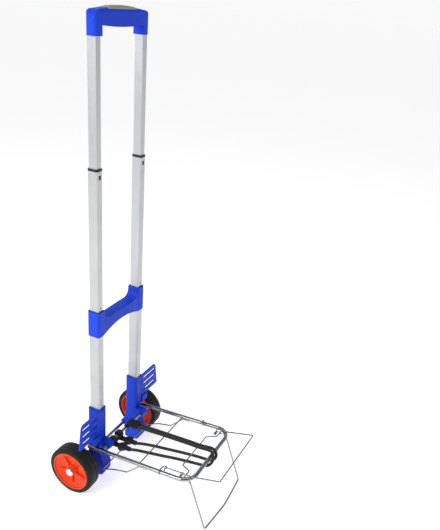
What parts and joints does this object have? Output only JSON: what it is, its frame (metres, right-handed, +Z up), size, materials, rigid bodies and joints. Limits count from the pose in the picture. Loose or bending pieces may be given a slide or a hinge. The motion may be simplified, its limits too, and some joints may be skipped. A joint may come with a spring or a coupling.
{
  "type": "hand truck",
  "caption": "Folding hand truck with telescoping square rails, wheeled brackets, hinged wire platform with pull-out extension and stand, elastic cord and push-button grip.",
  "frame": {"origin": "on the floor, under the middle of the truck's bounding box, with the platform open and the handle raised", "axes": "+Z up, -Y forward along the platform, X across the truck"},
  "size_m": [0.406, 0.5233, 1.3526],
  "materials": {
    "blue_plastic": "smooth moulded, satin gloss",
    "orange_plastic": "smooth moulded, gloss",
    "black_plastic": "fine grain",
    "grey_plastic": "fine grain",
    "rail_aluminium": "satin anodised, drawn along the tube",
    "plated_steel": "bright zinc or chrome plate",
    "cap_silver": "bright pressed cap",
    "inner_steel": "plain",
    "tyre_rubber": "matte rubber",
    "elastic_cord": "braided sheath"
  },
  "bodies": {
    "base_frame": {"base_bracket_left": "blue_plastic", "base_bracket_right": "blue_plastic", "lower_tube_left": "rail_aluminium", "lower_tube_right": "rail_aluminium", "crossbar": "blue_plastic", "guide_bush_left": "black_plastic", "guide_bush_right": "black_plastic", "tube_rivets": "plated_steel", "axle": "plated_steel", "axle_cap_left": "cap_silver", "axle_cap_right": "cap_silver", "axle_washers": "plated_steel"},
    "wheel_left": {"tyre_left": "tyre_rubber", "hub_left": "orange_plastic", "wheel_bush_left": "black_plastic"},
    "wheel_right": {"tyre_right": "tyre_rubber", "hub_right": "orange_plastic", "wheel_bush_right": "black_plastic"},
    "platform": {"platform_tube": "plated_steel", "platform_hinge_rod": "plated_steel", "platform_cross_wire": "plated_steel", "platform_stepped_wire": "plated_steel", "platform_brace": "plated_steel", "stand_eyes": "plated_steel", "extension_eyes": "plated_steel", "tube_end_plugs": "black_plastic", "bungee_cord": "elastic_cord", "cord_hook_left": "black_plastic", "cord_hook_right": "black_plastic", "cord_anchor": "black_plastic"},
    "extension": {"extension_wire": "plated_steel"},
    "stand": {"stand_wire": "plated_steel"},
    "mid_stage": {"mid_tube_left": "rail_aluminium", "mid_tube_right": "rail_aluminium", "mid_collar_left": "black_plastic", "mid_collar_right": "black_plastic", "mid_shoe_left": "black_plastic", "mid_shoe_right": "black_plastic"},
    "mid_locks": {"mid_lock_pins": "inner_steel"},
    "top_stage": {"top_tube_left": "rail_aluminium", "top_tube_right": "rail_aluminium", "top_shoe_left": "black_plastic", "top_shoe_right": "black_plastic", "handle_front_shell": "blue_plastic", "handle_rear_shell": "blue_plastic", "handle_screws": "inner_steel"},
    "top_locks": {"top_lock_pins": "inner_steel"},
    "release": {"release_button": "grey_plastic", "release_yoke": "inner_steel", "release_rods": "inner_steel", "button_springs": "inner_steel"}
  },
  "joints": [
    {"name": "wheel_left_spin", "type": "hinge", "parent": "base_frame", "child": "wheel_left", "pos_m": [-0.172, 0.18668, 0.075], "axis": [1, 0, 0], "continuous": true},
    {"name": "wheel_right_spin", "type": "hinge", "parent": "base_frame", "child": "wheel_right", "pos_m": [0.172, 0.18668, 0.075], "axis": [1, 0, 0], "continuous": true},
    {"name": "platform_fold", "type": "hinge", "parent": "base_frame", "child": "platform", "pos_m": [0, 0.12268, 0.134], "axis": [-1, 0, 0], "range_deg": [0, 83]},
    {"name": "extension_slide", "type": "slide", "parent": "platform", "child": "extension", "axis": [0, -0.9962, 0.0872], "range_m": [-0.075, 0]},
    {"name": "stand_fold", "type": "hinge", "parent": "platform", "child": "stand", "pos_m": [0, -0.13868, 0.15285], "axis": [1, 0, 0], "range_deg": [0, 108]},
    {"name": "mid_stage_slide", "type": "slide", "parent": "base_frame", "child": "mid_stage", "axis": [0, 0, 1], "range_m": [-0.3925, 0]},
    {"name": "mid_lock_shift", "type": "slide", "parent": "mid_stage", "child": "mid_locks", "axis": [0, 1, 0], "range_m": [0, 0.0035]},
    {"name": "top_stage_slide", "type": "slide", "parent": "mid_stage", "child": "top_stage", "axis": [0, 0, 1], "range_m": [-0.3065, 0]},
    {"name": "top_lock_shift", "type": "slide", "parent": "top_stage", "child": "top_locks", "axis": [0, 1, 0], "range_m": [0, 0.0035]},
    {"name": "button_press", "type": "slide", "parent": "top_stage", "child": "release", "axis": [0, 0, -1], "range_m": [0, 0.004], "stiffness_N_per_m": 900, "springref_m": -0.006, "deforming": ["button_springs"]}
  ],
  "couplings": [
    {"joint": "top_lock_shift", "follows": "button_press", "ratio": 0.875},
    {"joint": "mid_lock_shift", "follows": "button_press", "ratio": 0.875}
  ]
}
